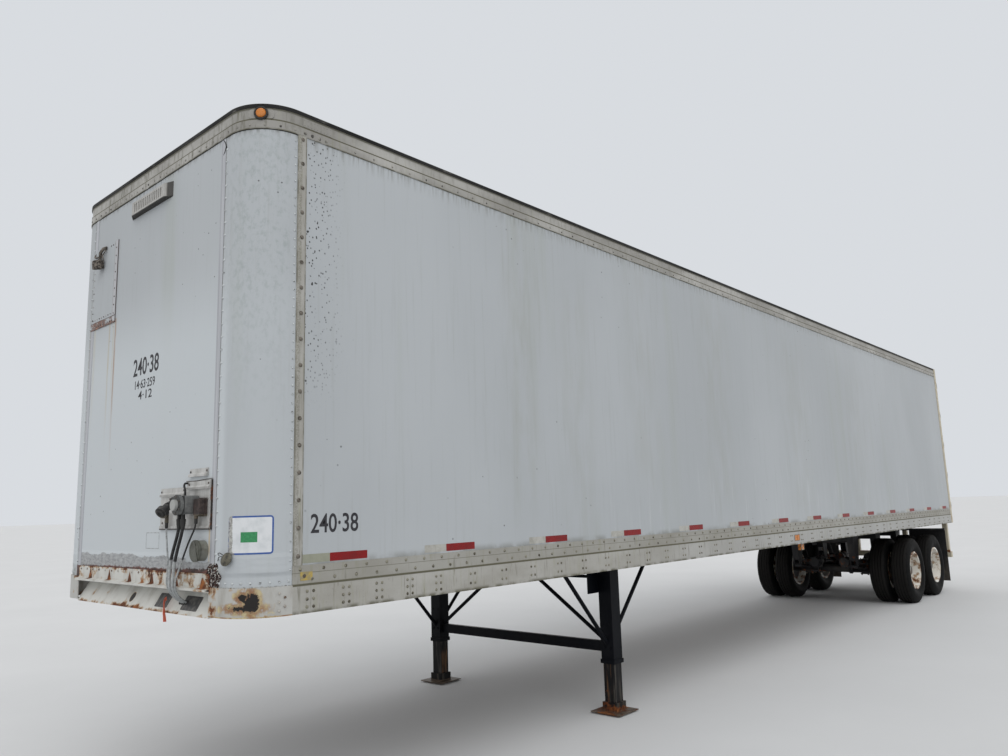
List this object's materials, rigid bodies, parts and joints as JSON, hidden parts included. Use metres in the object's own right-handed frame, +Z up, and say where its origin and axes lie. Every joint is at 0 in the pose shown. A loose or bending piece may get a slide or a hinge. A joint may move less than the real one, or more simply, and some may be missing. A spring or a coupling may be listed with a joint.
{
  "type": "dry van semi trailer",
  "caption": "Long box semi trailer with rounded nose corners, swing rear doors, sliding tandem bogie and landing gear.",
  "frame": {"origin": "on the ground under the middle of the box", "axes": "+X towards the nose and kingpin, +Y to the trailer's left side, +Z up"},
  "size_m": [14.8092, 2.605, 4.115],
  "materials": {
    "panel": "chalky off-white fibreglass over plywood, streaked with dirt",
    "rail": "weathered grey-beige aluminium extrusion, stained",
    "roof": "weathered sheet aluminium",
    "boards": "worn laminated hardwood boards",
    "underbody": "black undercoated steel with rust",
    "painted": "white painted steel with rust along the edges",
    "cream": "cream painted steel with rust",
    "steel": "worn bare steel with grease",
    "tyre": "dusty black rubber",
    "wheel_paint": "white painted steel discs, heavily rusted",
    "rubber": "black rubber sheet",
    "leg_paint": "dark blue-black paint with rust",
    "rust": "bare rusty steel",
    "lens": "amber and red moulded lenses, faded",
    "grey_paint": "grey weathered steel with rusty edges",
    "iron": "greasy cast iron",
    "holder": "grey-green moulded can",
    "hose": "black rubber hose, faded grey lower down"
  },
  "bodies": {
    "chassis": {"floor_deck": "boards", "crossmembers": "underbody", "bottom_rail_left": "rail", "bottom_rail_right": "rail", "side_wall_left": "panel", "side_wall_right": "panel", "top_rail_left": "rail", "top_rail_right": "rail", "front_wall": "panel", "corner_panel_left": "panel", "corner_panel_right": "panel", "corner_strips": "rail", "front_header": "rail", "roof_sheet": "roof", "roof_bows": "roof", "nose_apron": "painted", "corner_brackets": "painted", "coupler_plate": "underbody", "kingpin": "steel", "rear_frame": "cream", "underride_guard": "cream", "axles": "underbody", "brake_chambers": "underbody", "leaf_springs": "underbody", "slider_rails": "underbody", "bogie_frame": "underbody", "equalisers": "underbody", "torque_arms": "underbody", "air_tank": "underbody", "mud_flaps": "rubber", "landing_legs": "leg_paint", "landing_feet": "rust", "landing_braces": "leg_paint", "landing_gearbox": "leg_paint", "marker_lamps": "lens", "nose_vent": "rail", "patch_panel": "panel", "connector_plate": "grey_paint", "glad_hands": "iron", "cable_socket": "grey_paint", "document_holder": "holder", "air_hose_left": "hose", "cable_left": "hose", "cable_right": "hose", "air_hose_right": "hose"},
    "wheel_front_left": {"tyres_front_left": "tyre", "wheels_front_left": "wheel_paint"},
    "wheel_front_right": {"tyres_front_right": "tyre", "wheels_front_right": "wheel_paint"},
    "wheel_rear_left": {"tyres_rear_left": "tyre", "wheels_rear_left": "wheel_paint"},
    "wheel_rear_right": {"tyres_rear_right": "tyre", "wheels_rear_right": "wheel_paint"},
    "door_left": {"door_left": "panel", "door_hardware_left": "steel"},
    "door_right": {"door_right": "panel", "door_hardware_right": "steel"}
  },
  "joints": [
    {"name": "front_left_wheel_spin", "type": "hinge", "parent": "chassis", "child": "wheel_front_left", "pos_m": [-4.75, 0.9615, 0.513], "axis": [0, 1, 0], "continuous": true},
    {"name": "front_right_wheel_spin", "type": "hinge", "parent": "chassis", "child": "wheel_front_right", "pos_m": [-4.75, -0.9615, 0.513], "axis": [0, 1, 0], "continuous": true},
    {"name": "rear_left_wheel_spin", "type": "hinge", "parent": "chassis", "child": "wheel_rear_left", "pos_m": [-5.995, 0.9615, 0.513], "axis": [0, 1, 0], "continuous": true},
    {"name": "rear_right_wheel_spin", "type": "hinge", "parent": "chassis", "child": "wheel_rear_right", "pos_m": [-5.995, -0.9615, 0.513], "axis": [0, 1, 0], "continuous": true},
    {"name": "left_door_swing", "type": "hinge", "parent": "chassis", "child": "door_left", "pos_m": [-7.343, 1.2815, 2.6555], "axis": [0, 0, -1], "range_deg": [0, 265]},
    {"name": "right_door_swing", "type": "hinge", "parent": "chassis", "child": "door_right", "pos_m": [-7.343, -1.2815, 2.6555], "axis": [0, 0, 1], "range_deg": [0, 265]}
  ]
}
